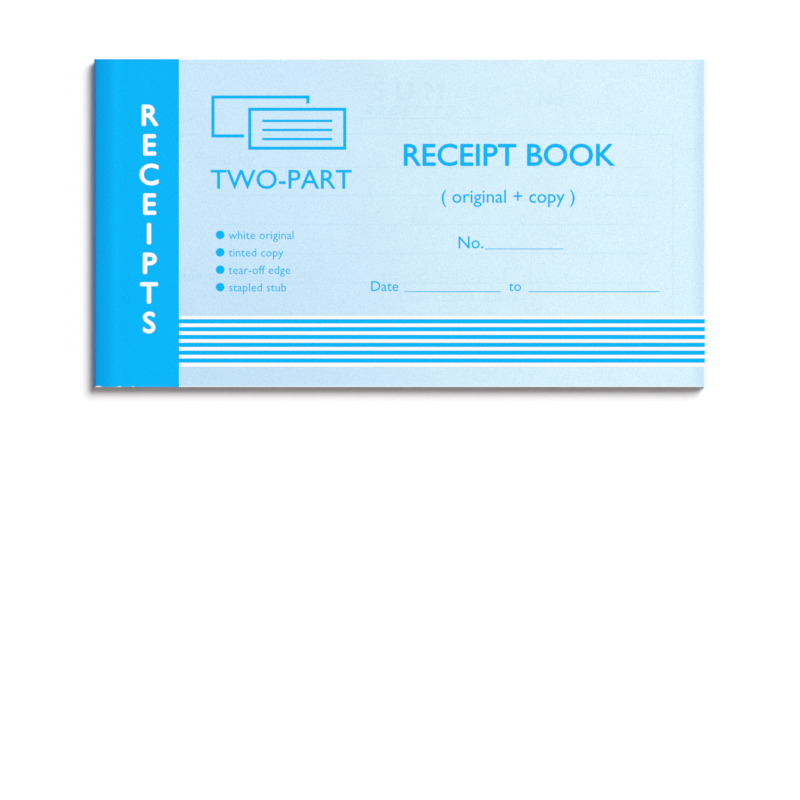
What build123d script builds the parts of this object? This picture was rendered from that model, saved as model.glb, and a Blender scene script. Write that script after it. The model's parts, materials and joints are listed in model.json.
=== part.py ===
"""A duplicate receipt book: numbered sets of two sheets, stapled at the stub and glued into a wrap-around cover.

Millimetres. +X runs from the spine to the fore edge, +Y to the head of the page, +Z up.
The origin is the middle of the closed book's footprint, on the surface that it lies on.
"""

import os

from build123d import *

# The book and its cover
BOOK_LENGTH = 175.0  # spine to fore edge
BOOK_WIDTH = 93.6  # tail to head
COVER_THICKNESS = 0.25
COVER_SETBACK = 0.65  # the sheets stand this far past the cover's fore edge
FOLD_RADIUS = 0.6  # outside of the two folds at the spine
FOLD_LIP = 0.4  # flat edge of the spine panel beyond each fold, up to its score line

# The sheets
SET_COUNT = 20  # each set is an original and its duplicate
SHEET_THICKNESS = 0.07
STUB_WIDTH = 8.0  # spine to the tear line, which is also the crease of the cover
STUB_SETBACK = 0.05  # between the inside of the folds and the bound edges of the sheets
TEAR_GAP = 0.1  # between a stub and its leaf, the width of the perforation cut
AIR_GAP = 0.01  # between one sheet and the next

# The staples
WIRE_WIDTH = 0.7  # flat wire, measured across the stub
WIRE_THICKNESS = 0.5
WIRE_BEND_RADIUS = 0.45  # outside of the bends between crown and legs
CROWN_LENGTH = 12.0
CLINCH_LENGTH = 4.0  # each turned-in end
STAPLE_SPACING = 46.0
STAPLE_INSET = 4.2  # spine to the middle of the wire
WIRE_CLEARANCE = 0.04  # around the wire in the sheets that it pierces

# The opening cover
CREASE_GAP = 0.05  # score between neighbouring panels
HINGE_LIFT = 0.02  # height of the crease's turning line over the closed cover
WRAP_CLEARANCE = 0.05  # under the back cover, when the front one is folded behind it
SPINE_CLEARANCE = 0.15  # beside the spine, when the front cover goes round it

# Heights, from the surface up
SHEET_COUNT = 2 * SET_COUNT
SHEET_PITCH = SHEET_THICKNESS + AIR_GAP
STACK_BOTTOM = COVER_THICKNESS + AIR_GAP
STACK_TOP = STACK_BOTTOM + SHEET_COUNT * SHEET_PITCH - AIR_GAP
FRONT_BOTTOM = STACK_TOP + AIR_GAP
BOOK_HEIGHT = FRONT_BOTTOM + COVER_THICKNESS
HINGE_HEIGHT = BOOK_HEIGHT + HINGE_LIFT

# Places along the book
SPINE_X = -BOOK_LENGTH / 2
FORE_EDGE_X = BOOK_LENGTH / 2
COVER_EDGE_X = FORE_EDGE_X - COVER_SETBACK
SCORE_X = SPINE_X + FOLD_RADIUS + FOLD_LIP
STUB_X = SPINE_X + FOLD_RADIUS + STUB_SETBACK
CREASE_X = SPINE_X + STUB_WIDTH
STAPLE_X = SPINE_X + STAPLE_INSET

# The second turning line of the front cover. With the cover laid back over the stub, the line stands
# just outside the spine, midway between that panel and the same panel once it lies under the book.
WRAP_X = CREASE_X + STUB_WIDTH + SPINE_CLEARANCE
WRAP_RADIUS = HINGE_HEIGHT - (BOOK_HEIGHT - WRAP_CLEARANCE) / 2
WRAP_HEIGHT = BOOK_HEIGHT + WRAP_RADIUS

os.makedirs("parts", exist_ok=True)


def keep(piece, name):
    """Labels a finished piece and writes it as its own file."""
    piece.part.label = name
    export_step(piece.part, f"parts/{name}.step")


def sheet_bottom(number):
    """Height of the underside of a sheet, counted from 0 at the top of the book."""
    return STACK_TOP - SHEET_THICKNESS - number * SHEET_PITCH


def panel(left, right, bottom, thickness):
    """A flat sheet over the book's full width, from left to right."""
    with BuildPart() as sheet:
        with BuildSketch(Plane.XY.offset(bottom)):
            with Locations(((left + right) / 2, 0)):
                Rectangle(right - left, BOOK_WIDTH)
        extrude(amount=thickness)
    return sheet


def wire_cuts(bottom):
    """What one staple cuts out of a sheet: (place along the crown, length) of each opening."""
    crown_bottom = STACK_TOP - WIRE_THICKNESS - WIRE_CLEARANCE
    clinch_top = STACK_BOTTOM + WIRE_THICKNESS + WIRE_CLEARANCE
    if bottom + SHEET_THICKNESS > crown_bottom:
        return [(0, CROWN_LENGTH)]
    length = CLINCH_LENGTH if bottom < clinch_top else WIRE_THICKNESS
    return [(side * (CROWN_LENGTH - length) / 2, length) for side in (-1, 1)]


def stubs(first_sheet):
    """The bound strips of every second sheet, pierced by both staples."""
    with BuildPart() as strips:
        for number in range(first_sheet, SHEET_COUNT, 2):
            bottom = sheet_bottom(number)
            with BuildSketch(Plane.XY.offset(bottom)):
                with Locations(((STUB_X + CREASE_X) / 2, 0)):
                    Rectangle(CREASE_X - STUB_X, BOOK_WIDTH)
                for place, length in wire_cuts(bottom):
                    with Locations((STAPLE_X, place)):
                        with GridLocations(0, STAPLE_SPACING, 1, 2):
                            Rectangle(
                                WIRE_WIDTH + 2 * WIRE_CLEARANCE,
                                length + 2 * WIRE_CLEARANCE,
                                mode=Mode.SUBTRACT,
                            )
            extrude(amount=SHEET_THICKNESS)
    return strips


# The cover is one card, scored and folded. Its panels, from the back round to the front:
keep(panel(SCORE_X, COVER_EDGE_X, 0, COVER_THICKNESS), "back_cover")

with BuildPart() as spine_panel:
    middle = COVER_THICKNESS / 2
    with BuildSketch(Plane.XZ):
        with BuildLine():
            FilletPolyline(
                (SCORE_X, middle),
                (SPINE_X + middle, middle),
                (SPINE_X + middle, BOOK_HEIGHT - middle),
                (SCORE_X, BOOK_HEIGHT - middle),
                radius=FOLD_RADIUS - middle,
            )
        trace(line_width=COVER_THICKNESS)
    extrude(amount=BOOK_WIDTH / 2, both=True)
keep(spine_panel, "spine_panel")

keep(panel(SCORE_X, CREASE_X, FRONT_BOTTOM, COVER_THICKNESS), "front_hinge_strip")
keep(panel(CREASE_X + CREASE_GAP, WRAP_X - CREASE_GAP, FRONT_BOTTOM, COVER_THICKNESS), "cover_roll")
keep(panel(WRAP_X, COVER_EDGE_X, FRONT_BOTTOM, COVER_THICKNESS), "front_cover")

# Glue between the spine panel and the bound edges of the sheets, over the flat of the spine.
glue_height = BOOK_HEIGHT - 2 * FOLD_RADIUS
with BuildPart() as spine_glue:
    with BuildSketch(Plane.XY.offset(FOLD_RADIUS)):
        with Locations((SPINE_X + COVER_THICKNESS, 0)):
            Rectangle(STUB_X - SPINE_X - COVER_THICKNESS, BOOK_WIDTH, align=(Align.MIN, Align.CENTER))
    extrude(amount=glue_height)
keep(spine_glue, "spine_glue")

# Two flat-wire staples: the crown is pressed into the top sheets and the ends are turned in below.
stack_height = STACK_TOP - STACK_BOTTOM
with BuildPart() as staples:
    with BuildSketch(Plane.YZ.offset(STAPLE_X - WIRE_WIDTH / 2)) as wire:
        with GridLocations(STAPLE_SPACING, 0, 2, 1):
            with Locations((0, STACK_BOTTOM + stack_height / 2)):
                Rectangle(CROWN_LENGTH, stack_height)
        fillet(wire.vertices().group_by(Axis.Z)[-1], WIRE_BEND_RADIUS)
        with GridLocations(STAPLE_SPACING, 0, 2, 1):
            with Locations((0, STACK_BOTTOM + stack_height / 2)):
                Rectangle(
                    CROWN_LENGTH - 2 * WIRE_THICKNESS,
                    stack_height - 2 * WIRE_THICKNESS,
                    mode=Mode.SUBTRACT,
                )
            with Locations((0, STACK_BOTTOM + WIRE_THICKNESS / 2)):
                Rectangle(CROWN_LENGTH - 2 * CLINCH_LENGTH, WIRE_THICKNESS, mode=Mode.SUBTRACT)
    extrude(amount=WIRE_WIDTH)
keep(staples, "staples")

# The stubs stay in the binding when a leaf is torn out.
keep(stubs(0), "original_stubs")
keep(stubs(1), "duplicate_stubs")

# The leaves: an original over its duplicate, in every set.
for set_number in range(1, SET_COUNT + 1):
    for offset, copy in enumerate(("original", "duplicate")):
        bottom = sheet_bottom(2 * (set_number - 1) + offset)
        leaf = panel(CREASE_X + TEAR_GAP, FORE_EDGE_X, bottom, SHEET_THICKNESS)
        keep(leaf, f"{copy}_{set_number:02d}")

print("crease line", [round(v, 4) for v in (CREASE_X, 0, HINGE_HEIGHT)])
print("wrap line", [round(v, 4) for v in (WRAP_X, 0, WRAP_HEIGHT)])
print("closed book", BOOK_LENGTH, BOOK_WIDTH, round(BOOK_HEIGHT, 4))
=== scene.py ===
# %% [markdown]
# # A duplicate receipt book
#
# The book is a pad of numbered forms. Each form is a set of two thin sheets, a white original over a tinted
# duplicate, and the sets are stapled at a stub along the left edge. One scored card wraps the whole pad: it
# is printed blue outside and left white inside. The front of the card opens beside the stub, lies back in a
# soft roll and can be folded right behind the pad, so that the top form lies open for writing.
#
# The solids of every sheet, staple and cover panel come from the packed frame. This lesson dresses them:
# it bends the card, cuts the tear line, prints the forms and lights the book from the upper right.

# %% Load the frame
import json
import math
import random

import bmesh
import bpy
from mathutils import Matrix, Vector

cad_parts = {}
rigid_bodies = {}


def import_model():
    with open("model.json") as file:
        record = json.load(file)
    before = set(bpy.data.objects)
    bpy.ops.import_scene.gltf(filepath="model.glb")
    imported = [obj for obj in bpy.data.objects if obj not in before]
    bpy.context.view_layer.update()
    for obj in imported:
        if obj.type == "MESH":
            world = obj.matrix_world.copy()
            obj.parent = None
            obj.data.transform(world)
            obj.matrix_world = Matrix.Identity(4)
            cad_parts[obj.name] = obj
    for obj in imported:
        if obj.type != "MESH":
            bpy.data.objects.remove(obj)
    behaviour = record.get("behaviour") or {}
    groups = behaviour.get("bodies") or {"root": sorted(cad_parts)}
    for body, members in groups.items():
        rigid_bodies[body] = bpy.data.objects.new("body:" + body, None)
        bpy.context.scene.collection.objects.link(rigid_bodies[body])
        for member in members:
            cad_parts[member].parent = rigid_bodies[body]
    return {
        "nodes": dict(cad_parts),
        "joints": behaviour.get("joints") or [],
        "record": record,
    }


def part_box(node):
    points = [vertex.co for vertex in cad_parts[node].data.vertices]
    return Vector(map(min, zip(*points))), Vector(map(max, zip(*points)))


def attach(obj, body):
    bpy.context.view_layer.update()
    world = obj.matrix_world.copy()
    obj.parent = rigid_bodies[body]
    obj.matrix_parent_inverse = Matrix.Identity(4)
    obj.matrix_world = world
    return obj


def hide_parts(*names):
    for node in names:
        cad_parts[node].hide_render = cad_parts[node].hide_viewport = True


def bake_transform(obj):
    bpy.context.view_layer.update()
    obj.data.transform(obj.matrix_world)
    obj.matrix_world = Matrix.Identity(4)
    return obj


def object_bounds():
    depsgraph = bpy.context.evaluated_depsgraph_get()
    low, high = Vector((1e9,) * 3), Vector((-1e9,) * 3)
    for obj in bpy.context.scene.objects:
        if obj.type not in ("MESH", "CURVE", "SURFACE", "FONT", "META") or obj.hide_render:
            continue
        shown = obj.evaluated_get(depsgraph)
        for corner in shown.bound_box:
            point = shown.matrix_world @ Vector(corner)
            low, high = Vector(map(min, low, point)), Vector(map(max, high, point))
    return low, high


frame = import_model()
cad_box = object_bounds()
MM = 0.001

# %% [markdown]
# The frame gives every size that matters: where the spine is, how thick the card is, where the crease
# beside the stub runs and where the second bend of the cover lies. They could be typed in once more, but
# reading them keeps the looks on the solids when the book changes size.

# %% Sizes read from the solids
book_low, book_high = cad_box
front_low, front_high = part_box("front_cover")
strip_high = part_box("front_hinge_strip")[1]
SPINE_X = book_low.x
HEAD_Y = book_high.y
TAIL_Y = book_low.y
COVER_TOP = front_high.z
COVER_UNDER = front_low.z
CARD = COVER_TOP - COVER_UNDER
INK_ROOM = 0.012 * MM
FACE = COVER_TOP - INK_ROOM  # the card's printed face lies just under its ink
CREASE_X = strip_high.x
WRAP_X = front_low.x
COVER_EDGE_X = front_high.x
HINGE_Z = next(joint["pos_m"][2] for joint in frame["joints"] if joint["name"] == "cover_crease")
print("card mm", round(CARD / MM, 3), "crease mm from the spine", round((CREASE_X - SPINE_X) / MM, 2))

# %% [markdown]
# The photograph looks straight down, with hardly any perspective. An orthographic camera could show that,
# but a long lens, high over the book, keeps the little depth that a real picture has. The closed book fills
# the upper half of the square picture. The camera therefore stands over the middle of the picture, a little
# below the tail of the book, and not over the book itself.

# %% Camera
PICTURE = 800  # pixels along each side
BOOK_PIXELS = 613.2  # length of the closed book
SPINE_PIXEL = 94.0  # column of its left edge
HEAD_PIXEL = 59.0  # row of its upper edge
LENS = 100.0  # mm, as is the sensor
SENSOR = 36.0


def in_scene(name, data):
    """A new object with this data, linked to the scene."""
    thing = bpy.data.objects.new(name, data)
    bpy.context.scene.collection.objects.link(thing)
    return thing


pixel = (book_high.x - book_low.x) / BOOK_PIXELS  # metres on the cover
camera_data = bpy.data.cameras.new("camera")
camera_data.lens = LENS
camera_data.sensor_width = SENSOR
camera = in_scene("camera", camera_data)
camera.location = (
    SPINE_X + (PICTURE / 2 - SPINE_PIXEL) * pixel,
    HEAD_Y - (PICTURE / 2 - HEAD_PIXEL) * pixel,
    COVER_TOP + PICTURE * pixel * LENS / SENSOR,
)
bpy.context.scene.camera = camera
bpy.context.scene.view_settings.view_transform = "Standard"
print("camera mm", [round(v / MM, 1) for v in camera.location])

# %% [markdown]
# Every finish here is built from nodes, which stay sharp from close by and need no pictures. Written out, a
# node tree is hard to read, so one small class wraps an output socket and overloads the arithmetic:
# `1 - mask` then adds a Math node by itself. A second class holds a tree and has the one method that makes
# any node, and a third one is a material: a tree that knows where a point lies and ends in a shader.

# %% Arithmetic on sockets
def math_node(operation, reflected=False):
    """A method that adds a Math node for a wire and another value. A reflected one has the wire second."""
    def method(wire, other=0.0):
        first, second = (other, wire) if reflected else (wire, other)
        return wire.board.node("ShaderNodeMath", {"operation": operation}, {0: first, 1: second})

    return method


class Wire:
    """An output socket. Arithmetic on it adds Math nodes to its board."""

    def __init__(self, board, socket):
        self.board = board
        self.socket = socket

    __add__ = math_node("ADD")
    __radd__ = math_node("ADD", reflected=True)
    __sub__ = math_node("SUBTRACT")
    __rsub__ = math_node("SUBTRACT", reflected=True)
    __mul__ = math_node("MULTIPLY")
    __rmul__ = math_node("MULTIPLY", reflected=True)
    __truediv__ = math_node("DIVIDE")
    __rtruediv__ = math_node("DIVIDE", reflected=True)
    above = math_node("GREATER_THAN")
    below = math_node("LESS_THAN")
    least = math_node("MINIMUM")
    most = math_node("MAXIMUM")
    wrapped = math_node("FLOORED_MODULO")
    size = math_node("ABSOLUTE")  # of the wire alone

    def ramp(self, low, high):
        """0 at low and 1 at high, eased at both ends."""
        settings = {"interpolation_type": "SMOOTHSTEP"}
        return self.board.node("ShaderNodeMapRange", settings, {0: self, 1: low, 2: high})

    def beside(self, out):
        """Another output of the same node."""
        return Wire(self.board, self.socket.node.outputs[out])


print("a wire has", [name for name in vars(Wire) if not name.startswith("_")])

# %% Nodes on a board
MIX_FIRST = 6  # a Mix node's colour sockets
MIX_SECOND = 7
MIX_RESULT = 2


class Board:
    """A node tree, and the one method that adds nodes to it."""

    def __init__(self, tree):
        self.tree = tree

    def node(self, kind, settings=None, sockets=None, out=0):
        """Adds a node: its settings first, then the values or links of its sockets."""
        made = self.tree.nodes.new(kind)
        for key, value in (settings or {}).items():
            setattr(made, key, value)
        for key, value in (sockets or {}).items():
            self.feed(made.inputs[key], value)
        return Wire(self, made.outputs[out])

    def feed(self, socket, value):
        """Links a wire to a socket, or sets the socket to a plain value."""
        if isinstance(value, Wire):
            self.tree.links.new(value.socket, socket)
        else:
            socket.default_value = value

    def mix(self, mask, first, second):
        """A colour: first where the mask is 0, second where it is 1."""
        sockets = {0: mask, MIX_FIRST: first, MIX_SECOND: second}
        return self.node("ShaderNodeMix", {"data_type": "RGBA"}, sockets, MIX_RESULT)


print("a board has", [name for name in vars(Board) if not name.startswith("_")])

# %% Materials from nodes
class Finish(Board):
    """A material. Gloss is how strongly its surface mirrors the light."""

    def __init__(self, name, gloss=0.5):
        self.material = bpy.data.materials.new(name)
        self.material.use_nodes = True
        super().__init__(self.material.node_tree)
        self.shader = self.tree.nodes["Principled BSDF"]
        self.feed(self.shader.inputs["Specular IOR Level"], gloss)
        self.place = self.node("ShaderNodeTexCoord", out="Object")
        split = self.node("ShaderNodeSeparateXYZ", sockets={0: self.place})
        self.x, self.y, self.z = (split.beside(axis) for axis in "XYZ")

    def noise(self, grain, detail=2.0, stretch=(1, 1, 1)):
        """A soft random value about 0.5, whose spots are about grain metres across."""
        mapped = self.node("ShaderNodeMapping", sockets={"Vector": self.place, "Scale": stretch})
        sockets = {"Vector": mapped, "Scale": 1 / grain, "Detail": detail}
        return self.node("ShaderNodeTexNoise", sockets=sockets)

    def scaled(self, colour, value):
        """A colour made lighter or darker by a value about 1."""
        base = colour if isinstance(colour, Wire) else colour[:3]
        return self.node("ShaderNodeVectorMath", {"operation": "SCALE"}, {0: base, "Scale": value})

    def paint(self, colour, roughness, height=None, depth=0.0):
        """Feeds the shader. Height is a value from 0 to 1, and depth what it stands for in metres."""
        self.feed(self.shader.inputs["Base Color"], colour)
        self.feed(self.shader.inputs["Roughness"], roughness)
        if height is not None:
            bump = self.node("ShaderNodeBump", sockets={"Distance": depth, "Height": height})
            self.feed(self.shader.inputs["Normal"], bump)
        return self.material


def uneven(level, *wavers):
    """A value that wavers about a level. Each waver is a noise, and how far it swings the value."""
    value = level - sum(swing for _, swing in wavers) / 2
    for noise, swing in wavers:
        value = value + swing * noise
    return value


def srgb(red, green, blue):
    """A colour of 0 to 255 per channel, as a designer writes it, in the shader's linear light."""
    def linear(channel):
        share = channel / 255
        return share / 12.92 if share <= 0.04045 else ((share + 0.055) / 1.055) ** 2.4

    return (linear(red), linear(green), linear(blue), 1.0)


print("a written 128 is", round(srgb(128, 128, 128)[0], 3), "in linear light")

# %% [markdown]
# The cover is uncoated card, printed in one cyan ink. A solid band of it runs from the spine to well past
# the stub, six thin lines cross the foot, and the rest is a light tint of the same ink. Tinted card is never
# even: it has a fine grain, faint clouds, and bare white nicks where the foot of the spine has been knocked.
# Each of these could be a piece of its own, but all of them follow from where a point lies on the card, so
# one material works them out. The card is thin enough for the form below to show through, so a second,
# slightly darker copy of the material waits for the form's marks.

# %% Sizes and colours of the cover print
MATT = 0.06  # gloss of uncoated stock
CARD_ROUGHNESS = 0.62
CARD_ROUGHNESS_SWING = 0.12
CARD_RELIEF = 0.02 * MM
GRAIN_SIZE = 0.42 * MM
GRAIN_DETAIL = 3.0
CLOUD_SIZE = 9 * MM
TINT_LEVEL = 1.02
TINT_GRAIN = 0.36  # how far the grain and the clouds swing the shade of the tint
TINT_CLOUD = 0.06
CYAN_GRAIN = 0.32  # and that of the solid ink
CYAN_CLOUD = 0.04
SPECK_SIZE = 0.3 * MM
SPECK_RANGE = (0.52, 0.8)  # of the noise, from no speck to a full one
SPECK_SHARE = 0.25
SHOWN_THROUGH = 0.06  # how much more cyan the tint is over a printed mark of the form
BAND_WIDTH = 24.3 * MM
BAND_ON_BACK = 3.0 * MM
BARE_HAIR = 0.2 * MM  # unprinted line between the band and the tint
BARE_HAIR_SHARE = 0.7
LINE_ZONE_TOP = 73.3 * MM  # below the head
LINE_ZONE_HEIGHT = 14.5 * MM
FIRST_LINE = 74.86 * MM  # middle of the first blue line, below the head
LINE_PITCH = 2.24 * MM
LINE_WIDTH = 1.24 * MM
LINE_COUNT = 6
NICKS = ((1.3, 1.0, 0.4), (7.2, 0.6, 0.26), (11.1, 0.4, 0.22))  # place, half width and depth in mm
NICK_RAGGEDNESS = 1.8  # how far the grain swings their depth
CYAN = srgb(0, 181, 247)
# painted shade: a darker cyan where the card is pressed down over the stub
CYAN_STUB_SHADE = srgb(0, 171, 240)
# painted shade: a darker cyan at the rounded fold of the spine
CYAN_FOLD_SHADE = srgb(0, 149, 221)
TINT_LEFT = srgb(200, 229, 247)
TINT_FOOT = srgb(192, 223, 245)
TINT_RIGHT = srgb(215, 239, 248)
# painted shade along the fore edge
TINT_FORE_SHADE = srgb(201, 229, 246)
CARD_WHITE = srgb(252, 251, 252)

# Each shade has the distances where it starts and where it is full.
FOOT_SHADE = (30 * MM, 95 * MM)  # from the head: the tint gets darker towards the foot
TINT_SHADE = (BAND_WIDTH, 160 * MM)  # from the spine: and lighter towards the fore edge
STUB_SHADE = (6.5 * MM, 3.5 * MM)  # from the spine: painted shade where the card is pressed down over the staples
FOLD_SHADE = (1.4 * MM, 1.0 * MM)  # from the spine: painted shade of the fold, up to the score line
FORE_SHADE = (4.3 * MM, 1.0 * MM)  # from the fore edge: painted shade, darker towards the edge
EDGE_WEAR = (0.5 * MM, 0.1 * MM)  # from any cut edge of the front: rubbed pale
EDGE_WEAR_SHARE = 0.55
print("lines", LINE_COUNT, "over mm", round(LINE_PITCH * LINE_COUNT / MM, 2))

# %% Cover print finish
def foot_lines(down):
    """Masks of the bare zone across the foot, and of the blue lines in it."""
    from_top = down - LINE_ZONE_TOP
    zone = from_top.above(0.0) * from_top.below(LINE_ZONE_HEIGHT)
    along = down - FIRST_LINE + LINE_PITCH / 2
    from_line = (along.wrapped(LINE_PITCH) - LINE_PITCH / 2).size()
    lines = from_line.below(LINE_WIDTH / 2) * along.above(0.0) * along.below(LINE_PITCH * LINE_COUNT)
    return zone, lines


def nicked(across, to_tail, grain):
    """Mask of the nicks at the foot of the spine: rounded bites with a ragged edge."""
    bite = 0.0
    for place, half, depth in NICKS:
        off = (across - place * MM) / (half * MM)
        bite = bite + depth * MM * (1 - off * off).most(0.0)
    return to_tail.below(bite * uneven(1.0, (grain, NICK_RAGGEDNESS)))


def cover_print(name, shown):
    """The printed card. Shown is how much more cyan its tint is."""
    finish = Finish(name, MATT)
    grain = finish.noise(GRAIN_SIZE, GRAIN_DETAIL)
    speck = finish.noise(SPECK_SIZE).ramp(*SPECK_RANGE)
    cloud = finish.noise(CLOUD_SIZE)
    across = finish.x - SPINE_X
    down = HEAD_Y - finish.y
    to_fore = COVER_EDGE_X - finish.x
    to_tail = finish.y - TAIL_Y
    to_edge = to_tail.least(down).least(to_fore)
    on_back = finish.z.below(COVER_TOP / 2)

    tint = finish.mix(down.ramp(*FOOT_SHADE), TINT_LEFT, TINT_FOOT)
    tint = finish.mix(across.ramp(*TINT_SHADE), tint, TINT_RIGHT)
    # painted shade along the fore edge
    tint = finish.mix(to_fore.ramp(*FORE_SHADE), tint, TINT_FORE_SHADE)
    tint = finish.mix(shown + SPECK_SHARE * speck, tint, CYAN)
    tint = finish.scaled(tint, uneven(TINT_LEVEL, (grain, TINT_GRAIN), (cloud, TINT_CLOUD)))
    tint = finish.mix(EDGE_WEAR_SHARE * to_edge.ramp(*EDGE_WEAR), tint, CARD_WHITE)
    # painted shade over the pressed stub
    cyan = finish.mix(across.ramp(*STUB_SHADE), CYAN, CYAN_STUB_SHADE)
    # painted shade at the fold of the spine
    cyan = finish.mix(across.ramp(*FOLD_SHADE), cyan, CYAN_FOLD_SHADE)
    cyan = finish.scaled(cyan, uneven(1.0, (grain, CYAN_GRAIN), (cloud, CYAN_CLOUD)))

    zone, lines = foot_lines(down)
    front = finish.mix(zone, tint, CARD_WHITE)
    front = finish.mix(BARE_HAIR_SHARE * across.below(BAND_WIDTH + BARE_HAIR), front, CARD_WHITE)
    front = finish.mix(lines, front, cyan)
    front = finish.mix(across.below(BAND_WIDTH), front, cyan)
    back = finish.mix(across.below(BAND_ON_BACK), tint, cyan)
    colour = finish.mix(on_back, front, back)
    colour = finish.mix(nicked(across, to_tail, grain), colour, CARD_WHITE)
    roughness = uneven(CARD_ROUGHNESS, (grain, CARD_ROUGHNESS_SWING))
    return finish.paint(colour, roughness, grain, CARD_RELIEF)


COVER_PRINT = cover_print("cover_print", 0.0)
COVER_OVER_FORM = cover_print("cover_over_form", SHOWN_THROUGH)
print("finishes", COVER_PRINT.name, COVER_OVER_FORM.name)

# %% [markdown]
# Paper is the other main finish: the white inside and the cut edges of the card, the white originals and the
# tinted duplicates. All are the same web of short fibres, seen as a grain that runs along the sheet, with a
# faint cloudy look-through. The leaves also get a little painted shade beside the crease.
# A scanned sheet could be laid over them, but two noises give the same grain without a seam. Only the colour
# and the strengths differ, so one function makes them all.

# %% Paper finishes
FIBRE_SIZE = 0.35 * MM
FIBRE_DETAIL = 3.0
FIBRE_STRETCH = (0.35, 1, 1)  # less change along the sheet makes the grain longer there
FIBRE_SHARE = 0.6  # of the unevenness, and the clouds have the rest
LOOK_THROUGH = 6 * MM  # size of the clouds
PAPER_ROUGHNESS_SWING = 0.08
PAPER_RELIEF = 0.012 * MM
GUTTER_SHADE = (9 * MM, 2.5 * MM)  # from the crease: where the painted shade starts and where it is full


def paper(name, colour, grain, roughness, painted_gutter_shade=0.0):
    """A paper. Grain is how uneven its tone is, and the last value how much painted shade it gets beside the
    crease.
    """
    finish = Finish(name, MATT)
    fibre = finish.noise(FIBRE_SIZE, FIBRE_DETAIL, FIBRE_STRETCH)
    cloud = finish.noise(LOOK_THROUGH)
    shade = uneven(1.0, (fibre, FIBRE_SHARE * grain), (cloud, (1 - FIBRE_SHARE) * grain))
    # painted shade beside the crease
    if painted_gutter_shade:
        shade = shade * (1 - painted_gutter_shade * (finish.x - CREASE_X).size().ramp(*GUTTER_SHADE))
    rough = uneven(roughness, (fibre, PAPER_ROUGHNESS_SWING))
    return finish.paint(finish.scaled(colour, shade), rough, fibre, PAPER_RELIEF)


CARD_INSIDE = paper("card_inside", srgb(236, 242, 253), grain=0.04, roughness=0.7)
CARD_EDGE = paper("card_edge", srgb(240, 243, 248), grain=0.10, roughness=0.85)
ORIGINAL_PAPER = paper("original_paper", srgb(234, 234, 235), grain=0.04, roughness=0.75, painted_gutter_shade=0.11)
DUPLICATE_PAPER = paper("duplicate_paper", srgb(212, 226, 246), grain=0.05, roughness=0.75, painted_gutter_shade=0.11)
print("papers", [m.name for m in (CARD_INSIDE, CARD_EDGE, ORIGINAL_PAPER, DUPLICATE_PAPER)])

# %% [markdown]
# Printing ink sits in the paper rather than on it. Offset ink has small lighter spots where the fibres did
# not take it, and the red serial number, stamped by a numbering wheel, has more of them. A noise that passes
# a limit makes such spots, so the inks differ only in that limit and in their two colours.

# %% Ink finishes
SPOT_SIZE = 0.16 * MM
SPOT_BLUR = 0.23  # how far past its limit the noise leaves no ink
INK_ROUGHNESS = 0.52
BARE_ROUGHNESS = 0.72


def printing_ink(name, colour, bare, limit):
    """A printed colour. It thins out to the bare colour where the noise passes the limit."""
    finish = Finish(name, MATT)
    thin = finish.noise(SPOT_SIZE).ramp(limit, limit + SPOT_BLUR)
    roughness = INK_ROUGHNESS + (BARE_ROUGHNESS - INK_ROUGHNESS) * thin
    return finish.paint(finish.mix(thin, colour, bare), roughness)


BLACK_INK = printing_ink("black_ink", srgb(30, 26, 31), srgb(88, 84, 90), limit=0.67)
RED_INK = printing_ink("red_ink", srgb(216, 40, 44), srgb(240, 130, 130), limit=0.6)
CYAN_INK = printing_ink("cyan_ink", CYAN, srgb(40, 192, 248), limit=0.67)
WHITE_INK = printing_ink("white_ink", srgb(253, 253, 254), srgb(205, 236, 251), limit=0.72)
print("inks", [m.name for m in (BLACK_INK, RED_INK, CYAN_INK, WHITE_INK)])

# %% [markdown]
# The staples are drawn steel wire, with fine lines along it, and the spine glue is a cloudy resin. Both lie
# hidden under the cover, apart from the ends of the glue at the head and the tail. New meshes could stand in
# for them, but their solids have the right shape already, and so do those of the stubs, so these nodes stay
# as they are and only get their finishes.

# %% Wire and glue finishes
DRAWN = (1, 0.04, 0.04)  # stretches a noise into long lines, along the crown and along the legs


def mottled(
    name, colour, shade_swing, roughness, roughness_swing, spot_size, relief, stretch=(1, 1, 1), metallic=0.0
):
    """A finish whose shade, roughness and relief follow one noise."""
    finish = Finish(name)
    finish.feed(finish.shader.inputs["Metallic"], metallic)
    spots = finish.noise(spot_size, stretch=stretch)
    shaded = finish.scaled(colour, uneven(1.0, (spots, shade_swing)))
    return finish.paint(shaded, uneven(roughness, (spots, roughness_swing)), spots, relief)


STAPLE_WIRE = mottled(
    "staple_wire",
    srgb(190, 190, 192),
    shade_swing=0.3,
    roughness=0.38,
    roughness_swing=0.2,
    spot_size=0.06 * MM,
    relief=0.004 * MM,
    stretch=DRAWN,
    metallic=1.0,
)
BINDING_GLUE = mottled(
    "binding_glue",
    srgb(238, 233, 214),
    shade_swing=0.2,
    roughness=0.475,
    roughness_swing=0.25,
    spot_size=0.7 * MM,
    relief=0.05 * MM,
)
node_finishes = {
    "staples": STAPLE_WIRE,
    "spine_glue": BINDING_GLUE,
    "original_stubs": ORIGINAL_PAPER,
    "duplicate_stubs": DUPLICATE_PAPER,
}
for node, material in node_finishes.items():
    frame["nodes"][node].data.materials.clear()
    frame["nodes"][node].data.materials.append(material)
print("dressed", list(node_finishes))

# %% [markdown]
# Several pieces are made of parts with different finishes: card with a white core, sheets with ink on them.
# Blender's Join works on what happens to be selected, so this helper builds the joined mesh itself. It welds
# the points that the parts share, keeps each part's material, and marks sharp edges, so that a bent sheet
# shades smoothly along the bend and stays crisp at its cut edges.

# %% Joining parts into a piece
SHARP_ANGLE = math.radians(40)
WELD_DISTANCE = 0.0001 * MM


def mesh_of(points, faces):
    mesh = bpy.data.meshes.new("part")
    mesh.from_pydata(points, [], faces)
    return mesh


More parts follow.
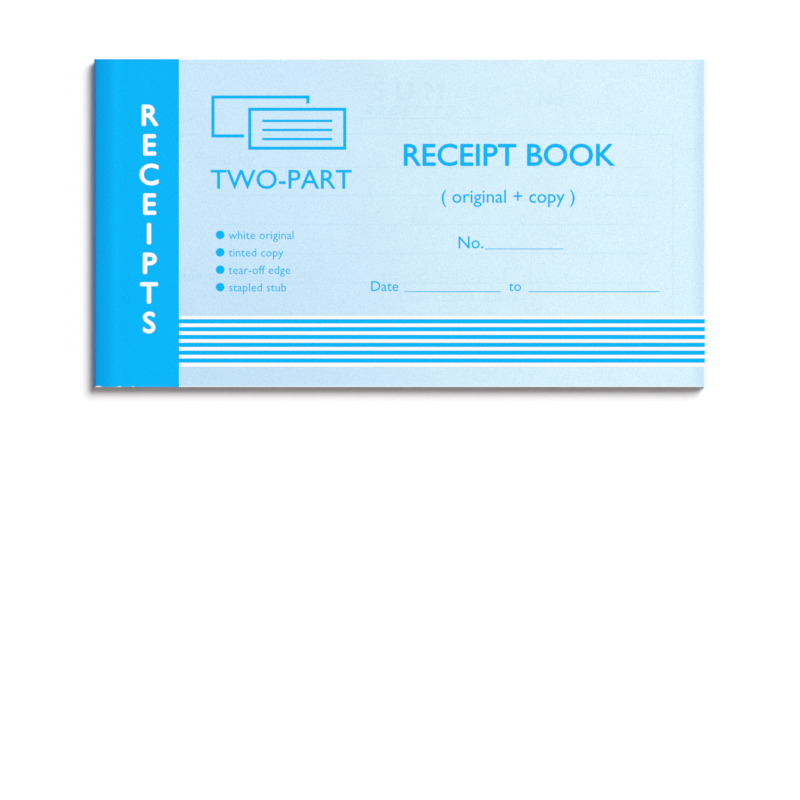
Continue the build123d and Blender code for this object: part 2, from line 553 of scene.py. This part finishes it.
def strip(count, first, second):
    """Faces between two lines of points, in a list of lines that have count points each."""
    starts = [(first * count + i, second * count + i) for i in range(count - 1)]
    return [(a, a + 1, b + 1, b) for a, b in starts]


def end_caps(count):
    """Faces over both ends of a bar that has four lines of points."""
    return [(0, 2 * count, 3 * count, count), (count - 1, 2 * count - 1, 4 * count - 1, 3 * count - 1)]


def joined(name, parts):
    """One object from (mesh, material) pairs."""
    materials = list(dict.fromkeys(material for _, material in parts))
    built = bmesh.new()
    for mesh, material in parts:
        first = len(built.faces)
        built.from_mesh(mesh)
        built.faces.ensure_lookup_table()
        for face in built.faces[first:]:
            face.material_index = materials.index(material)
            face.smooth = True
    bmesh.ops.remove_doubles(built, verts=built.verts[:], dist=WELD_DISTANCE)
    mesh = bpy.data.meshes.new(name)
    built.to_mesh(mesh)
    built.free()
    for material in materials:
        mesh.materials.append(material)
    mesh.set_sharp_from_angle(angle=SHARP_ANGLE)
    return in_scene(name, mesh)


print("edges are sharp past", round(math.degrees(SHARP_ANGLE)), "degrees")

# %% [markdown]
# The fixed part of the cover is the back, the spine and the strip that is glued down over the stub. On the
# real book it is one card, so it is modelled as one: a line drawn round the section of the book, with a
# rounded fold at each edge of the spine and a pressed score line beside it. A Solidify modifier could give
# that line its thickness, but a second line for the inside keeps the finishes apart: only the outside is
# printed, and the cut edges show the core.

# %% Section of the fixed cover
FOLD_RADIUS = 0.6 * MM
FOLD_STEPS = 8
SCORE_INSET = 1.1 * MM  # from the spine
SCORE_HALF = 0.16 * MM
SCORE_DEPTH = 0.06 * MM
CREASE_DIP = 0.05 * MM  # how far the card is pressed in along the crease
CREASE_DIP_REACH = 2.6 * MM
CREASE_DIP_STEP = CREASE_DIP_REACH / 4


def spaced(first, last, step):
    """Evenly spaced places from first to last, about one step apart."""
    count = max(1, round((last - first) / step))
    return [first + (last - first) * index / count for index in range(count + 1)]


def pressed(x):
    """Depth of the shallow valley along the crease."""
    near = max(0.0, 1 - abs(x - CREASE_X) / CREASE_DIP_REACH)
    return CREASE_DIP * near * near * (3 - 2 * near)


def fold(centre_z, radius, start):
    """Points of a quarter turn round a fold of the spine, clockwise from an angle in degrees."""
    turns = [math.radians(start - 90 * step / FOLD_STEPS) for step in range(FOLD_STEPS + 1)]
    return [(SPINE_X + FOLD_RADIUS + radius * math.cos(a), centre_z + radius * math.sin(a)) for a in turns]


def cover_section():
    """(outside, inside) points in x and z, from the fore edge of the back round to the crease."""
    low, high = FOLD_RADIUS, COVER_TOP - FOLD_RADIUS
    score = SPINE_X + SCORE_INSET
    top = [(score - SCORE_HALF, 0), (score, SCORE_DEPTH), (score + SCORE_HALF, 0)]
    top += [(x, pressed(x)) for x in spaced(CREASE_X - CREASE_DIP_REACH, CREASE_X, CREASE_DIP_STEP)]
    outside = [(COVER_EDGE_X, 0.0), *fold(low, FOLD_RADIUS, 270), *fold(high, FOLD_RADIUS, 180)]
    outside += [(x, FACE - dip) for x, dip in top]
    core = FOLD_RADIUS - CARD
    inside = [(COVER_EDGE_X, CARD), *fold(low, core, 270), *fold(high, core, 180)]
    inside += [(x, COVER_UNDER) for x, _ in top]
    return outside, inside


outside, inside = cover_section()
print("section points", len(outside))

# %% Card drawn out over the width of the book
def card_parts(outside, inside, ends=(True, True)):
    """A card with this section, as (mesh, material) pairs. Ends says which of its two ends are cut edges."""
    count = len(outside)
    sides = (TAIL_Y, HEAD_Y)
    printed = mesh_of([(x, y, z) for y in sides for x, z in outside], strip(count, 0, 1))
    bare = mesh_of([(x, y, z) for y in sides for x, z in inside], strip(count, 1, 0))
    points = [(x, y, z) for y in sides for line in (outside, inside) for x, z in line]
    caps = [cap for cap, kept in zip(end_caps(count), ends) if kept]
    edges = mesh_of(points, strip(count, 1, 0) + strip(count, 2, 3) + caps)
    return [(printed, COVER_PRINT), (bare, CARD_INSIDE), (edges, CARD_EDGE)]


fixed_cover = joined("fixed_cover", card_parts(outside, inside))
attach(fixed_cover, "binding")
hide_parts("back_cover", "spine_panel", "front_hinge_strip")
print("fixed cover polygons", len(fixed_cover.data.polygons))

# %% [markdown] The front of the card is one sheet too, but it moves: beside the stub it rises in a soft
# roll, and further out it bends once more to go round the spine. A rigid panel on a hinge would tear off
# there, so the front is three pieces that share their edges: the stretch of the roll, the stretch that
# goes round the spine, and the flat panel, which goes with the body of the front cover.

# %% Rows of points along the front cover
ROLL_END = WRAP_X - 0.4 * MM  # the soft roll over the stub ends here
WRAP_END = WRAP_X + 1.6 * MM  # and the bend round the spine here
BEND_STEP = 0.3 * MM
PANEL_STEP = 10 * MM


def front_parts(rows, ends):
    """A flat stretch of the front cover, as (mesh, material) pairs."""
    return card_parts([(x, FACE - pressed(x)) for x in rows], [(x, COVER_UNDER) for x in rows], ends)


roll_rows = spaced(CREASE_X, ROLL_END, BEND_STEP)
wrap_rows = spaced(ROLL_END, WRAP_END, BEND_STEP / 4)
panel_rows = spaced(WRAP_END, COVER_EDGE_X, PANEL_STEP)
print("rows", len(roll_rows), len(wrap_rows), len(panel_rows))

# %% [markdown]
# A printed page repeats a few plain marks, such as bullets and tick boxes, and a tear line repeats its ties.
# A loop could copy them, but one Geometry Nodes tree sets any small mark along a straight line, so that each
# row is a call with a count, a start and a step. The result becomes a plain mesh at once.

# %% Marks in a row
def row_tree():
    """The node group: copies of a mark along a line, made real and given a finish."""
    tree = bpy.data.node_groups.new("marks_in_a_row", "GeometryNodeTree")
    for name, kind in (
        ("Count", "NodeSocketInt"),
        ("Start", "NodeSocketVector"),
        ("Step", "NodeSocketVector"),
        ("Mark", "NodeSocketObject"),
        ("Finish", "NodeSocketMaterial"),
    ):
        tree.interface.new_socket(name=name, in_out="INPUT", socket_type=kind)
    tree.interface.new_socket(name="Row", in_out="OUTPUT", socket_type="NodeSocketGeometry")
    board = Board(tree)
    count = board.node("NodeGroupInput", out="Count")
    places = {"Count": count, "Start Location": count.beside("Start"), "Offset": count.beside("Step")}
    line = board.node("GeometryNodeMeshLine", {"mode": "OFFSET"}, places)
    mark = board.node("GeometryNodeObjectInfo", sockets={"Object": count.beside("Mark")}, out="Geometry")
    copies = board.node("GeometryNodeInstanceOnPoints", sockets={"Points": line, "Instance": mark})
    real = board.node("GeometryNodeRealizeInstances", sockets={"Geometry": copies})
    dressing = {"Geometry": real, "Material": count.beside("Finish")}
    dressed = board.node("GeometryNodeSetMaterial", sockets=dressing)
    board.feed(tree.nodes.new("NodeGroupOutput").inputs["Row"], dressed)
    return tree


ROW_TREE = row_tree()
ROW_SOCKETS = {item.name: item.identifier for item in ROW_TREE.interface.items_tree}


def plain_mesh(thing):
    """The mesh that an object comes to. The object itself goes."""
    depsgraph = bpy.context.evaluated_depsgraph_get()
    mesh = bpy.data.meshes.new_from_object(thing.evaluated_get(depsgraph))
    bpy.data.objects.remove(thing)
    return mesh


def in_a_row(mark, count, start, step, material):
    """A mesh of copies of the mark, the first at start and each a step further."""
    sample = in_scene("mark", mark)
    host = in_scene("row", bpy.data.meshes.new("row"))
    row = host.modifiers.new("row", "NODES")
    row.node_group = ROW_TREE
    inputs = {"Count": count, "Start": start, "Step": step, "Mark": sample, "Finish": material}
    for name, value in inputs.items():
        row[ROW_SOCKETS[name]] = value
    mesh = plain_mesh(host)
    bpy.data.objects.remove(sample)
    return mesh


print("row inputs", list(ROW_SOCKETS))

# %% [markdown]
# Everything printed goes through one page object. The print could be painted into the paper's finish, but
# every sheet has its own number, and real outlines stay crisp. So the page takes places in millimetres from
# the spine and from the head, as a printer measures them, and keeps a list of flat meshes with their inks.
# Words are Blender text, turned into meshes; a bold letter is a few copies of itself, set side by side.

# %% Small printed marks
DISC_CORNERS = 24


def corners(left, bottom, right, top, height=0.0):
    """The four corners of a flat rectangle, in metres."""
    return [(left, bottom, height), (right, bottom, height), (right, top, height), (left, top, height)]


def rectangle(left, bottom, right, top, height=0.0):
    return mesh_of(corners(left, bottom, right, top, height), [(0, 1, 2, 3)])


def hollow_box(width, height, line):
    """A flat tick box, drawn from its lower left corner."""
    points = corners(0, 0, width, height) + corners(line, line, width - line, height - line)
    return mesh_of(points, [(i, (i + 1) % 4, 4 + (i + 1) % 4, 4 + i) for i in range(4)])


def disc(radius):
    turns = [2 * math.pi * index / DISC_CORNERS for index in range(DISC_CORNERS)]
    points = [(radius * math.cos(turn), radius * math.sin(turn), 0) for turn in turns]
    return mesh_of(points, [tuple(range(DISC_CORNERS))])


print("bullet corners", DISC_CORNERS)

# %% A printed page
CAPITAL_SHARE = 0.73  # height of a capital, as a share of the font's size
SMALL_PRINT = 3.0  # mm, below which letters need fewer points
SMALL_PRINT_STEPS = 2
LARGE_PRINT_STEPS = 4
STROKES = ((-1, 0), (1, 0), (0, 1), (0, -1))  # copies that make a bold letter, each just above the last
STROKE_STEP = 0.001 * MM


class Page:
    """Flat marks of ink, measured in millimetres from the spine and from the head."""

    def __init__(self):
        self.parts = []

    def point(self, across, down):
        return Vector((SPINE_X + across * MM, HEAD_Y - down * MM, 0))

    def bar(self, ink, left, top, right, bottom):
        first, last = self.point(left, bottom), self.point(right, top)
        self.parts.append((rectangle(first.x, first.y, last.x, last.y), ink))

    def rule(self, ink, left, right, down, width):
        self.bar(ink, left, down - width / 2, right, down + width / 2)

    def outline(self, ink, left, top, right, bottom, width):
        self.bar(ink, left, top, right, top + width)
        self.bar(ink, left, bottom - width, right, bottom)
        self.bar(ink, left, top + width, left + width, bottom - width)
        self.bar(ink, right - width, top + width, right, bottom - width)

    def row(self, ink, mark, count, across, down, step_across=0.0, step_down=0.0):
        step = Vector((step_across * MM, -step_down * MM, 0))
        self.parts.append((in_a_row(mark, count, self.point(across, down), step, ink), ink))

    def words(
        self, ink, text, across, down, height, align="LEFT", turn=0, weight=0.0, spacing=1.0, slant=0.0
    ):
        """A line of text. Down is its baseline, height that of a capital, and weight thickens strokes."""
        curve = bpy.data.curves.new("words", "FONT")
        curve.body = text
        curve.size = height * MM / CAPITAL_SHARE
        curve.align_x = align
        curve.space_character = spacing
        curve.shear = slant
        curve.resolution_u = SMALL_PRINT_STEPS if height < SMALL_PRINT else LARGE_PRINT_STEPS
        mesh = plain_mesh(in_scene("words", curve))
        turned = Matrix.Rotation(math.radians(turn), 4, "Z")
        mesh.transform(Matrix.Translation(self.point(across, down)) @ turned)
        for level, (right, up) in enumerate(STROKES if weight else STROKES[:1]):
            stroke = mesh.copy()
            shift = (right * weight * MM, up * weight * MM, level * STROKE_STEP)
            stroke.transform(Matrix.Translation(shift))
            self.parts.append((stroke, ink))

    def at(self, height):
        """The page's parts, lifted to a height."""
        lifted = []
        for mesh, ink in self.parts:
            copy = mesh.copy()
            copy.transform(Matrix.Translation((0, 0, height)))
            lifted.append((copy, ink))
        return lifted


print("a page has", [name for name in vars(Page) if not name.startswith("_")])

# %% [markdown]
# The form is ruled once and printed on all forty sheets: a frame, five writing lines, a row of digit ticks,
# six tick boxes and the signature labels. It could be drawn sheet by sheet, but only the serial number and
# the word at the right edge change, so the rest is made once and every sheet gets a copy. A printer first
# chooses the type and then sets the words in it, and so do these cells.

# %% Type of the form
# Heights and weights are in millimetres, and turns in degrees.
LABEL_WEIGHT = 0.03
ITALIC = 0.3
FORM_TYPE = {
    "heading": {"height": 5.6, "align": "CENTER", "weight": 0.14, "spacing": 1.7},
    "subheading": {"height": 2.9, "align": "CENTER", "weight": 0.1, "spacing": 1.6, "slant": ITALIC},
    "number": {"height": 4.0},
    "serial": {"height": 4.5, "weight": LABEL_WEIGHT, "spacing": 1.24},
    "date": {"height": 2.6, "align": "CENTER"},
    "payer": {"height": 3.6, "weight": LABEL_WEIGHT, "spacing": 1.1},
    "sum": {"height": 3.2, "weight": LABEL_WEIGHT, "spacing": 1.04},
    "payee": {"height": 2.9, "weight": LABEL_WEIGHT, "spacing": 1.07},
    "total": {"height": 2.5, "weight": LABEL_WEIGHT},
    "choice": {"height": 2.3},
    "signature": {"height": 2.6, "align": "CENTER", "weight": LABEL_WEIGHT},
    "post": {"height": 2.0, "align": "CENTER", "weight": 0.05, "spacing": 1.1, "slant": ITALIC},
    "stub": {"height": 2.5, "turn": -90, "weight": LABEL_WEIGHT, "spacing": 1.3},
    "edge": {"height": 2.3, "align": "CENTER", "turn": -90},
}
print("kinds of type", len(FORM_TYPE))

# %% Layout of the form
# Places are in millimetres: across from the spine, and down from the head to the foot of a mark.
FORM_WORDS = (
    ("heading", "SUM", 90.0, 11.7),
    ("subheading", "RECEIVED", 90.0, 16.1),
    ("number", "No", 126.6, 13.2),
    ("date", "D", 142.4, 20.4),
    ("date", "M", 152.7, 20.4),
    ("date", "Y", 163.0, 20.4),
    ("payer", "Paid by", 30.3, 30.0),
    ("sum", "Sum in words", 23.4, 63.2),
    ("payee", "Payee (stamp here)", 23.4, 74.6),
    ("total", "Total", 124.6, 74.8),
    ("stub", "for the records", 13.1, 31.0),
)
SERIAL_PLACE = (134.6, 13.3)
EDGE_PLACE = (167.4, 50.0)
SIGNATURES = (
    ("Agreed:", "payee", 26.3),  # label, who signs, and across
    ("Booked:", "ledger", 55.4),
    ("Entered:", "day book", 85.2),
    ("Counted:", "till", 114.0),
    ("Issued:", "clerk", 145.8),
)
SIGNATURE_LINE = 85.4
POST_LINE = 88.0
THIN_LINE = 0.34
THICK_LINE = 0.5
FORM_FRAME = (17.4, 21.2, 165.6, 80.9)  # left, top, right and bottom
HEADING_RULE = (69.2, 110.8, 16.9)  # left, right and down
TOTAL_RULE = (133.6, 158.8, 75.1)
RULE_END = 158.3
SUM_LINE = 63.9
WRITING_LINES = ((47.1, 30.9), (33.1, 38.9), (33.4, 47.2), (33.6, 55.5), (49.4, SUM_LINE))  # left and down
TICK_COUNT = 10
TICK_LEFT = 61.4
TICK_PITCH = 10.5
TICK_HEIGHT = 2.8
BOX_ROWS = ((69.2, ("cash", "card", "bank")), (75.0, ("bill", "mail", "other")))  # down, and the choices
BOX_LEFT = 86.9
BOX_PITCH = 12.45
BOX_WIDTH = 2.95
BOX_HEIGHT = 2.6
CHOICE_INSET = 3.5  # from the left of its box
CHOICE_RISE = 0.2
print("words", len(FORM_WORDS), "signatures", len(SIGNATURES), "writing lines", len(WRITING_LINES))

# %% The printed form
def form_page():
    """The marks that all sheets share."""
    page = Page()
    for kind, text, across, down in FORM_WORDS:
        page.words(BLACK_INK, text, across, down, **FORM_TYPE[kind])
    for text, post, across in SIGNATURES:
        page.words(BLACK_INK, text, across, SIGNATURE_LINE, **FORM_TYPE["signature"])
        page.words(BLACK_INK, post, across, POST_LINE, **FORM_TYPE["post"])
    page.outline(BLACK_INK, *FORM_FRAME, THICK_LINE)
    page.rule(BLACK_INK, *HEADING_RULE, THICK_LINE)
    page.rule(BLACK_INK, *TOTAL_RULE, THIN_LINE)
    for left, down in WRITING_LINES:
        page.rule(BLACK_INK, left, RULE_END, down, THIN_LINE)
    tick = rectangle(0, 0, THIN_LINE * MM, TICK_HEIGHT * MM)
    page.row(BLACK_INK, tick, TICK_COUNT, TICK_LEFT, SUM_LINE - THIN_LINE / 2, step_across=TICK_PITCH)
    box = hollow_box(BOX_WIDTH * MM, BOX_HEIGHT * MM, THIN_LINE * MM)
    for down, choices in BOX_ROWS:
        page.row(BLACK_INK, box, len(choices), BOX_LEFT, down, step_across=BOX_PITCH)
        for column, text in enumerate(choices):
            across = BOX_LEFT + BOX_PITCH * column + CHOICE_INSET
            page.words(BLACK_INK, text, across, down - CHOICE_RISE, **FORM_TYPE["choice"])
    return page


FORM = form_page()


def numbered_form(set_number, edge_word):
    """The form's marks, with a serial number and a word at the right edge."""
    page = Page()
    page.parts = list(FORM.parts)
    page.words(RED_INK, f"{set_number:07d}", *SERIAL_PLACE, **FORM_TYPE["serial"])
    page.words(BLACK_INK, edge_word, *EDGE_PLACE, **FORM_TYPE["edge"])
    return page


print("form marks", len(FORM.parts))

# %% [markdown]
# The cover carries a stacked title in the blue band, a sign and a short list on the left, and a centred
# block with the title and blank lines for the numbers and dates that the book covers. Under its ink lie the
# marks of the form, which show faintly through the card. A card that lets light through could show them by
# itself, but it renders slowly and with noise, so the same page object prints them, in the darker tint.

# %% Layout of the cover
# Places and sizes are in millimetres, as on the form.
COVER_TYPE = {
    "stacked": {"height": 6.1, "align": "CENTER", "weight": 0.2},
    "sign": {"height": 5.7, "weight": 0.05},
    "title": {"height": 6.5, "align": "CENTER", "weight": 0.14},
    "subtitle": {"height": 3.9, "align": "CENTER", "weight": 0.03},
    "list": {"height": 2.5},
    "number": {"height": 3.6, "weight": 0.03},
    "date": {"height": 3.0, "weight": 0.02},
}
COVER_WORDS = (
    ("sign", "TWO-PART", 33.2, 37.0),
    ("title", "RECEIPT BOOK", 118.2, 30.4),
    ("subtitle", "( original + copy )", 118.2, 41.0),
)
FILL_LINES = (
    ("number", "No.", 103.7, 54.0, 111.5, 134.0),  # place of the word, and both ends of its line
    ("date", "Date", 78.8, 66.2, 88.6, 116.0),
    ("date", "to", 118.4, 66.2, 124.0, 161.4),
)
FILL_LINE = 0.22
FILL_DROP = 0.2  # from the word's baseline to the line
STACKED_PLACE = (15.7, 18.9)  # of the first letter
STACKED_PITCH = 8.45
LIST = ("white original", "tinted copy", "tear-off edge", "stapled stub")
LIST_PLACE = (38.4, 51.4)
LIST_PITCH = 4.97
BULLET_PLACE = (36.0, 50.2)
BULLET_RADIUS = 1.25
SIGN_BACK = (33.5, 10.4)  # upper left corners of its two sheets
SIGN_FRONT = (44.0, 13.9)
SIGN_WIDTH = 28.0
SIGN_HEIGHT = 12.0
SIGN_LINE = 0.9
SIGN_GAP = 1.2  # the sheet behind stops this far from the one in front
SIGN_RULES = 3
SIGN_RULE_LENGTH = 20.0
SIGN_RULE_WIDTH = 0.7
SIGN_RULE_PITCH = 2.6
SIGN_RULE_ACROSS = 4.0  # from the corner of the front sheet to the first rule
SIGN_RULE_DOWN = 4.1
SHOW_DROP = 0.006 * MM  # the marks that show through lie this far under the cover's ink
print("kinds of type", len(COVER_TYPE), "lines to fill in", len(FILL_LINES))

# %% Words on the cover
def draw_sign(page):
    """Two sheets: a ruled one in front of another, whose outline stops short of it."""
    left, top = SIGN_FRONT
    page.outline(CYAN_INK, left, top, left + SIGN_WIDTH, top + SIGN_HEIGHT, SIGN_LINE)
    rule = rectangle(0, 0, SIGN_RULE_LENGTH * MM, SIGN_RULE_WIDTH * MM)
    first = (left + SIGN_RULE_ACROSS, top + SIGN_RULE_DOWN)
    page.row(CYAN_INK, rule, SIGN_RULES, *first, step_down=SIGN_RULE_PITCH)
    back_left, back_top = SIGN_BACK
    back_right, back_bottom = back_left + SIGN_WIDTH, back_top + SIGN_HEIGHT
    below_top = back_top + SIGN_LINE
    page.bar(CYAN_INK, back_left, back_top, back_right, below_top)
    page.bar(CYAN_INK, back_left, below_top, back_left + SIGN_LINE, back_bottom)
    page.bar(CYAN_INK, back_left + SIGN_LINE, back_bottom - SIGN_LINE, left - SIGN_GAP, back_bottom)
    page.bar(CYAN_INK, back_right - SIGN_LINE, below_top, back_right, top - SIGN_GAP)


def cover_page():
    """The cover's ink, and the form below it."""
    page = Page()
    across, down = STACKED_PLACE
    for index, letter in enumerate("RECEIPTS"):
        page.words(WHITE_INK, letter, across, down + STACKED_PITCH * index, **COVER_TYPE["stacked"])
    draw_sign(page)
    page.row(CYAN_INK, disc(BULLET_RADIUS * MM), len(LIST), *BULLET_PLACE, step_down=LIST_PITCH)
    across, down = LIST_PLACE
    for index, text in enumerate(LIST):
        page.words(CYAN_INK, text, across, down + LIST_PITCH * index, **COVER_TYPE["list"])
    for kind, text, across, down in COVER_WORDS:
        page.words(CYAN_INK, text, across, down, **COVER_TYPE[kind])
    for kind, text, across, down, start, end in FILL_LINES:
        page.words(CYAN_INK, text, across, down, **COVER_TYPE[kind])
        page.rule(CYAN_INK, start, end, down + FILL_DROP, FILL_LINE)
    page.parts += [(mesh, COVER_OVER_FORM) for mesh, _ in FORM.at(-SHOW_DROP)]
    return page


COVER_PAGE = cover_page()
print("cover marks", len(COVER_PAGE.parts))

# %% [markdown]
# The stacked title lies right across the bend round the spine. Ink bends with its card only if it has points
# at the same rows, so on a bending stretch it is cut along every row. A fine grid over all the ink would do
# too, but the panel stays flat, and its ink needs a cut only where the panel starts.

# %% Ink cut to a stretch of the cover
CUT_DISTANCE = 1e-8  # metres, within which a point counts as lying on the cut


def cut_to(mesh, rows):
    """The part of a flat mesh between the first and the last row, with points on every row between."""
    work = bmesh.new()
    work.from_mesh(mesh)
    for x in rows:
        everything = work.verts[:] + work.edges[:] + work.faces[:]
        plane = {"plane_co": (x, 0, 0), "plane_no": (1, 0, 0)}
        bmesh.ops.bisect_plane(work, geom=everything, dist=CUT_DISTANCE, **plane)
    beyond = [face for face in work.faces if not rows[0] < face.calc_center_median().x < rows[-1]]
    bmesh.ops.delete(work, geom=beyond, context="FACES")
    kept = bpy.data.meshes.new("cut")
    work.to_mesh(kept)
    work.free()
    return kept


def ink_on(rows):
    """The cover's ink between the first and the last of these rows, cut along all of them."""
    found = []
    for mesh, material in COVER_PAGE.at(COVER_TOP):
        places = [vertex.co.x for vertex in mesh.vertices]
        if min(places) < rows[-1] and max(places) > rows[0]:
            found.append((cut_to(mesh, rows), material))
    return found


panel_ink = ink_on([WRAP_END, COVER_EDGE_X])
print("marks on the panel", len(panel_ink), "of", len(COVER_PAGE.parts))

# %% [markdown] Now the three stretches of the front cover.

# %% Front cover pieces
def bending(name, rows, ends):
    """A stretch of the front cover with points on every row, in place of the solid of the roll."""
    piece = joined(name, front_parts(rows, ends) + ink_on(rows))
    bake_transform(piece)
    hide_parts("cover_roll")
    return piece


roll_piece = bending("cover_roll_bend", roll_rows, (True, False))
wrap_piece = bending("cover_wrap_bend", wrap_rows, (False, False))
front_panel = joined("front_panel", front_parts(panel_rows, (False, True)) + panel_ink)
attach(front_panel, "front_cover")
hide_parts("front_cover")
print("front cover polygons", [len(p.data.polygons) for p in (roll_piece, wrap_piece, front_panel)])

# %% [markdown]
# A leaf is a thin sheet that ends at the tear line. A disc with blunt teeth cuts the line, so the leaf hangs
# on its stub by a row of short ties. A dotted line in the finish could stand for them, but real gaps let the
# light through when the leaf turns. The paper near the ties then bends up and over: the deeper the leaf lies
# in the pad, the longer that bend. Every second leaf joint turns its set stiffly, because the joints of the
# pad add up and the sets would otherwise bend through each other.

# %% Sheets with points on every row
TIE_WIDTH = 0.8 * MM
TIE_PITCH = 2.35 * MM
TIE_GAP = 0.02 * MM  # hair between a tie and the stub, so that they do not rub when the leaf turns
SLAB_SIDES = ((2, 3), (1, 0), (0, 2), (3, 1))  # lines of points along its top, bottom, tail and head


def slab(rows, low_y, high_y, bottom, top):
    """A closed flat sheet with points on every row."""
    points = [(x, y, z) for z in (bottom, top) for y in (low_y, high_y) for x in rows]
    sides = [face for lines in SLAB_SIDES for face in strip(len(rows), *lines)]
    return mesh_of(points, sides + end_caps(len(rows)))


def tie_row(low, high, tail_y, head_y, material):
    """The ties between a leaf and its stub, centred on the length of the tear line."""
    tie = slab([CREASE_X + TIE_GAP, low.x], 0, TIE_WIDTH, low.z, high.z)
    count = int((head_y - tail_y) / TIE_PITCH)
    first = tail_y + (head_y - tail_y - (count - 1) * TIE_PITCH - TIE_WIDTH) / 2
    return in_a_row(tie, count, (0, first, 0), (0, TIE_PITCH, 0), material)


print("ties on a leaf", int((HEAD_Y - TAIL_Y) / TIE_PITCH))

# %% Leaves with a tear line
INK_LIFT = 0.004 * MM
BEND_START = 1.6 * MM  # length of the bend of a leaf at the top of the pad
BEND_GROWTH = 0.9  # how much longer it is for each millimetre further down
FORE_SPREAD = 0.18 * MM  # the trimmed fore edges do not quite line up
END_SPREAD = 0.1 * MM
LEAF_KINDS = {"original": (ORIGINAL_PAPER, "1  ORIGINAL"), "duplicate": (DUPLICATE_PAPER, "2  DUPLICATE")}
SCATTER_SEED = 11
chance = random.Random(SCATTER_SEED)


def leaf(node, body, carrier=None):
    """One sheet with its ties, its form and its number. A leaf with a carrier gets points on every row of
    its bend, and one without goes with its body.
    """
    kind, number = node.rsplit("_", 1)
    material, edge_word = LEAF_KINDS[kind]
    low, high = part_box(node)
    bend_end = CREASE_X + BEND_START + BEND_GROWTH * (HINGE_Z - low.z)
    rows = spaced(low.x, bend_end, BEND_STEP) if carrier else [low.x]
    rows.append(high.x - chance.uniform(0, FORE_SPREAD))
    tail_y = low.y + chance.uniform(0, END_SPREAD)
    head_y = high.y - chance.uniform(0, END_SPREAD)
    sheet = slab(rows, tail_y, head_y, low.z, high.z)
    ties = tie_row(low, high, tail_y, head_y, material)
    page = numbered_form(int(number), edge_word)
    piece = joined(node + "_leaf", [(sheet, material), (ties, material)] + page.at(high.z + INK_LIFT))
    if carrier:
        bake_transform(piece)
    else:
        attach(piece, body)
    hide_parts(node)
    return piece


print("leaf kinds", list(LEAF_KINDS))

# %% [markdown]
# The pad is a chain: the binding carries the lowest set, and each set carries the one above it. The names
# could be listed once more here, but walking along the leaf joints from the binding gives the bodies in that
# order, and says which of them bend.

# %% Stack the leaves
leaves = []
leaf_joints = [joint for joint in frame["joints"] if joint["name"].endswith("_turn")]
for place, joint in enumerate(leaf_joints):
    body = joint["child"]
    carrier = joint["parent"] if place % 2 == 0 else None
    leaves += [leaf(node, body, carrier) for node in frame["record"]["behaviour"]["bodies"][body]]
print("leaves", len(leaves))

# %% [markdown]
# A white sheet of card under a white sky makes the pale background, and a broad lamp high at the upper right
# gives the soft shadow at the lower left. The sky only fills the shadow; it looks white to the camera and in
# the steel of the staples, so the edge of the floor does not show from low views.

# %% Floor
FLOOR_HALF = 2.5  # metres from the middle to an edge
FLOOR_DROP = 0.02 * MM
FLOOR_WHITE = srgb(255, 255, 255)
FLOOR_LEVEL = 0.9925
FLOOR_SWING = 0.015
FLOOR_PATCH = 0.4
FLOOR_ROUGHNESS = 0.9


def floor_finish():
    finish = Finish("studio_floor")
    tone = finish.noise(FLOOR_PATCH, detail=1.0)
    colour = finish.scaled(FLOOR_WHITE, uneven(FLOOR_LEVEL, (tone, FLOOR_SWING)))
    return finish.paint(colour, FLOOR_ROUGHNESS)


floor_sheet = rectangle(-FLOOR_HALF, -FLOOR_HALF, FLOOR_HALF, FLOOR_HALF, -FLOOR_DROP)
floor = joined("floor", [(floor_sheet, floor_finish())])
print("floor m", [round(v, 2) for v in floor.dimensions])

# %% Light
LAMP_TILT = 43  # degrees from straight overhead
LAMP_BEARING = 43  # degrees from the fore edge towards the head
LAMP_SPREAD = 33  # degrees that the lamp covers, seen from the book
LAMP_POWER = 3.47
LAMP_COLOUR = (0.955, 1.0, 1.03)
SKY_FILL = (0.243, 0.2, 0.177, 1.0)  # the photo's shadow is a warm grey
SKY_WHITE = (1.0, 1.0, 1.0, 1.0)

lamp_data = bpy.data.lights.new("lamp", "SUN")
lamp_data.energy = LAMP_POWER
lamp_data.color = LAMP_COLOUR
lamp_data.angle = math.radians(LAMP_SPREAD)
lamp = in_scene("lamp", lamp_data)
lamp.rotation_euler = (0, math.radians(LAMP_TILT), math.radians(LAMP_BEARING))

world = bpy.data.worlds.new("sky")
world.use_nodes = True
bpy.context.scene.world = world
sky = Board(world.node_tree)
camera_ray = sky.node("ShaderNodeLightPath", out="Is Camera Ray")
seen = camera_ray.most(camera_ray.beside("Is Glossy Ray")).most(camera_ray.beside("Is Transmission Ray"))
sky.feed(sky.tree.nodes["Background"].inputs["Color"], sky.mix(seen, SKY_FILL, SKY_WHITE))
print("lamp", LAMP_POWER, "sky", SKY_FILL)

# %% [markdown]
